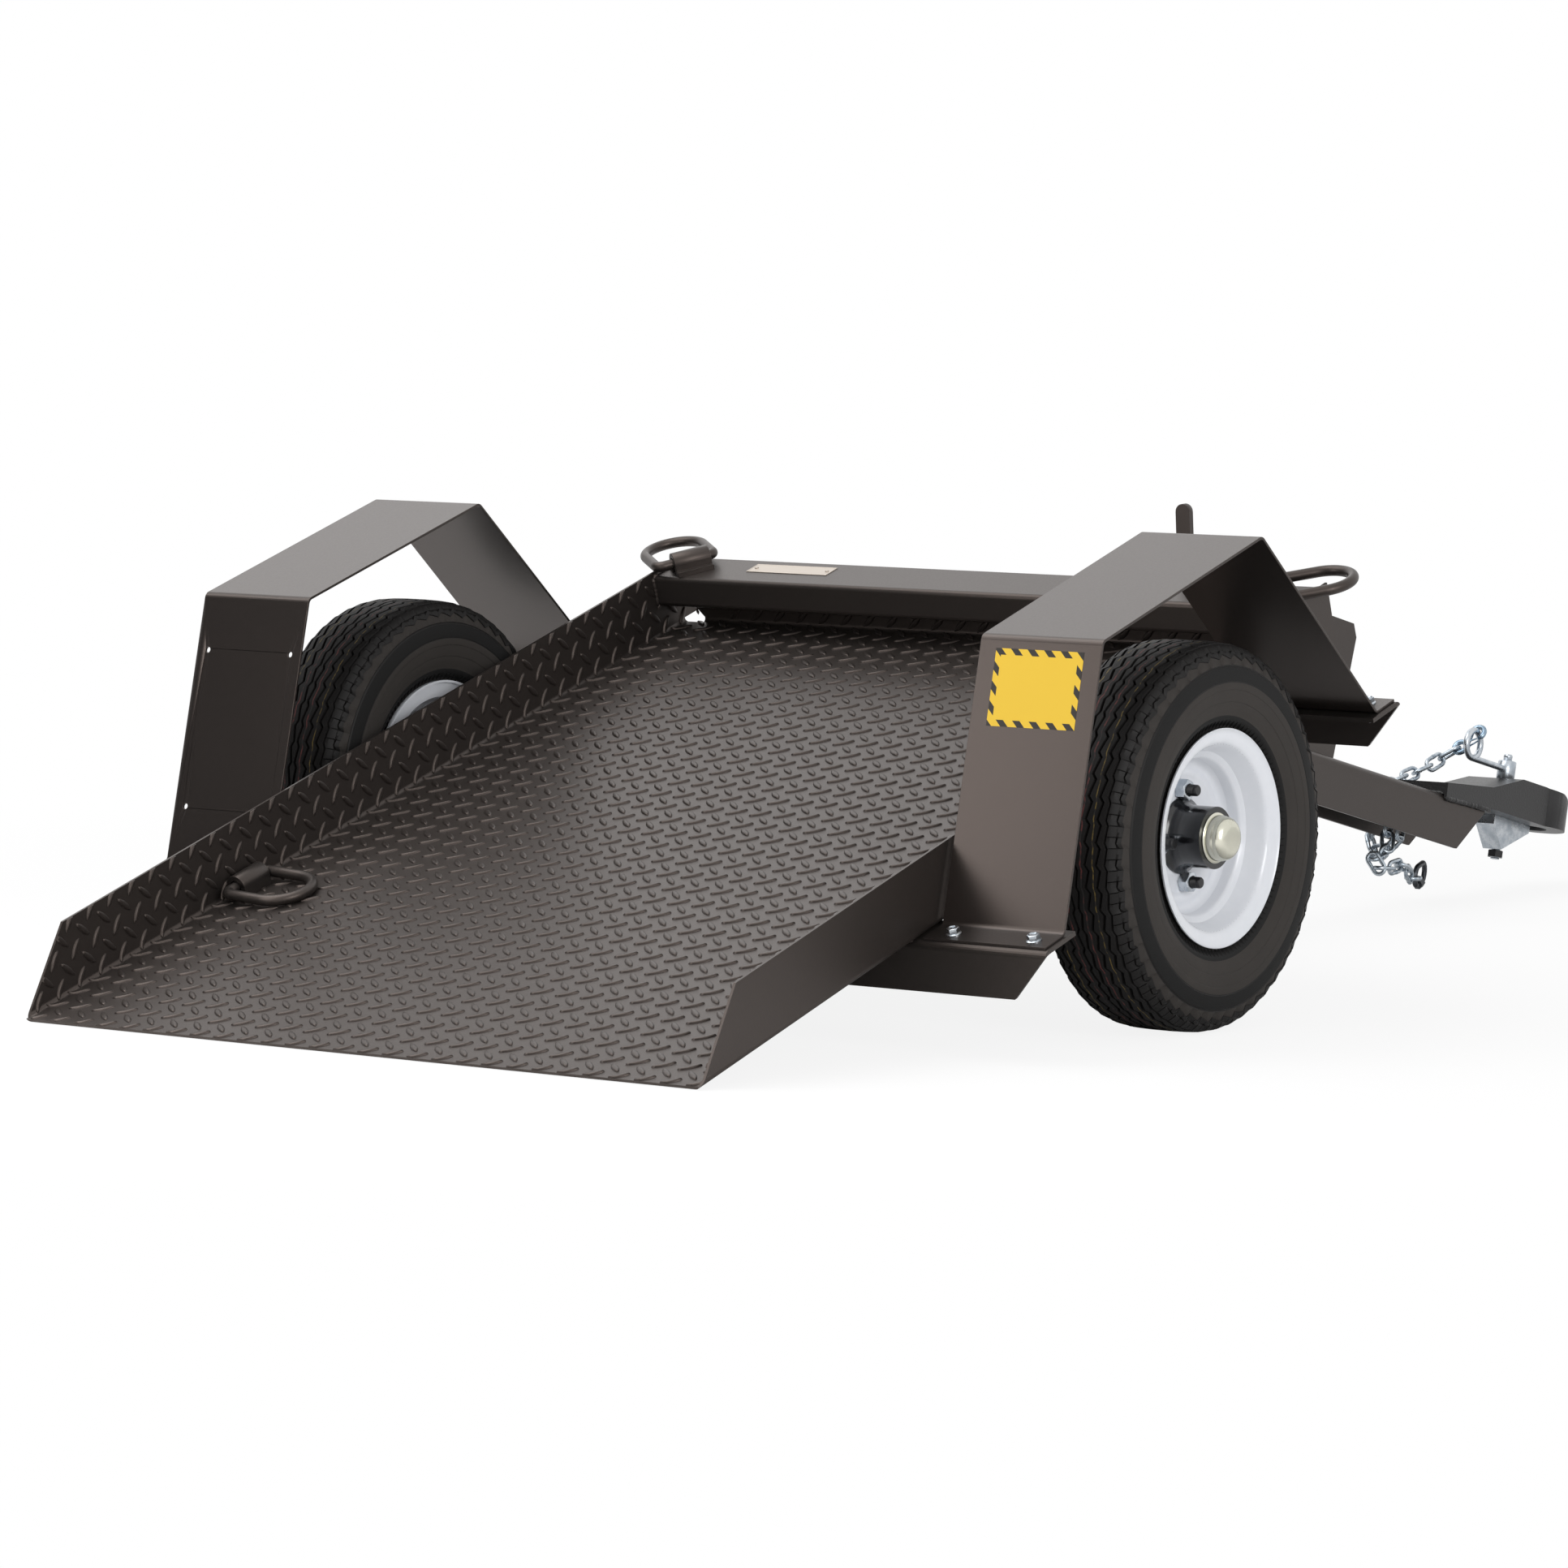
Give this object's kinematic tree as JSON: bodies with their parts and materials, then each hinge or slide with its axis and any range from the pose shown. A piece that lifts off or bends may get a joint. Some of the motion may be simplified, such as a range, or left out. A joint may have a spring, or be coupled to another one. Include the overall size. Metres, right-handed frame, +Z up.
{
  "type": "tilt trailer",
  "caption": "Small single-axle utility trailer whose tread-plate deck tips back to the ground on a hinged tongue with a ball coupler, fenders and tie-down rings.",
  "frame": {"origin": "on level ground, under the middle of the whole trailer's length and width, with the deck tipped back as in the picture", "axes": "+X forward along the tongue, +Y to the trailer's left, +Z up"},
  "size_m": [2.5114, 1.24, 0.552],
  "materials": {
    "tread_plate": "satin black powder coat over steel tread plate",
    "frame_black": "satin black powder coat",
    "fender_black": "satin black powder coat on smooth sheet",
    "cast_black": "semi-gloss black on cast steel",
    "hub_black": "gloss black on cast iron",
    "bare_steel": "dark oiled steel",
    "zinc": "bright zinc plate",
    "chain_zinc": "dull zinc plate",
    "hook_blue_zinc": "blue zinc plate on a forged hook",
    "rim_enamel": "silver-white gloss enamel",
    "tyre": "matt black rubber"
  },
  "bodies": {
    "deck": {"tray": "tread_plate", "cross_tube": "frame_black", "rear_crossmember": "frame_black", "front_crossmember": "frame_black", "floor_rails": "frame_black", "axle_beam": "frame_black", "spindle_left": "bare_steel", "spindle_right": "bare_steel", "fender_left": "fender_black", "fender_right": "fender_black", "hinge_ears": "frame_black", "hinge_pin": "zinc", "latch_lugs": "frame_black", "clip_rear_left": "frame_black", "clip_rear_right": "frame_black", "clip_front_left": "frame_black", "clip_front_right": "frame_black"},
    "wheel_left": {"tyre_left": "tyre", "rim_left": "rim_enamel", "hub_left": "hub_black", "dust_cap_left": "zinc", "lug_nuts_left": "zinc"},
    "wheel_right": {"tyre_right": "tyre", "rim_right": "rim_enamel", "hub_right": "hub_black", "dust_cap_right": "zinc", "lug_nuts_right": "zinc"},
    "tongue": {"tongue_channel": "frame_black", "latch_striker": "frame_black", "stop_post": "frame_black", "coupler_housing": "cast_black", "chain_hanger": "frame_black", "coupler_jaw": "zinc", "coupler_handle": "zinc", "upper_chain": "chain_zinc", "safety_hook": "hook_blue_zinc", "lower_chain": "chain_zinc", "quick_link": "bare_steel"},
    "latch": {"latch_lever": "frame_black"},
    "rear_left_ring": {"ring_rear_left": "frame_black"},
    "rear_right_ring": {"ring_rear_right": "frame_black"},
    "front_left_ring": {"ring_front_left": "frame_black"},
    "front_right_ring": {"ring_front_right": "frame_black"}
  },
  "joints": [
    {"name": "tongue_hinge", "type": "hinge", "parent": "deck", "child": "tongue", "pos_m": [-0.06015, 0, 0.334], "axis": [0, -1, 0], "range_deg": [-6, 36.9]},
    {"name": "wheel_left_spin", "type": "hinge", "parent": "deck", "child": "wheel_left", "pos_m": [-0.49551, 0.5397, 0.213], "axis": [0, 1, 0], "continuous": true},
    {"name": "wheel_right_spin", "type": "hinge", "parent": "deck", "child": "wheel_right", "pos_m": [-0.49551, -0.5397, 0.213], "axis": [0, 1, 0], "continuous": true},
    {"name": "latch_turn", "type": "hinge", "parent": "deck", "child": "latch", "pos_m": [-0.03456, 0, 0.43413], "axis": [0, 1, 0], "range_deg": [0, 40]},
    {"name": "rear_left_ring_lift", "type": "hinge", "parent": "deck", "child": "rear_left_ring", "pos_m": [-0.90158, 0.44035, 0.12998], "axis": [-0.952, 0, -0.3059], "range_deg": [0, 90]},
    {"name": "rear_right_ring_lift", "type": "hinge", "parent": "deck", "child": "rear_right_ring", "pos_m": [-0.90158, -0.44035, 0.12998], "axis": [0.952, 0, 0.3059], "range_deg": [0, 90]},
    {"name": "front_left_ring_lift", "type": "hinge", "parent": "deck", "child": "front_left_ring", "pos_m": [-0.10546, 0.417, 0.46355], "axis": [0.743, -0.6252, 0.2388], "range_deg": [0, 170]},
    {"name": "front_right_ring_lift", "type": "hinge", "parent": "deck", "child": "front_right_ring", "pos_m": [-0.10546, -0.417, 0.46355], "axis": [-0.743, -0.6252, -0.2388], "range_deg": [0, 170]}
  ]
}
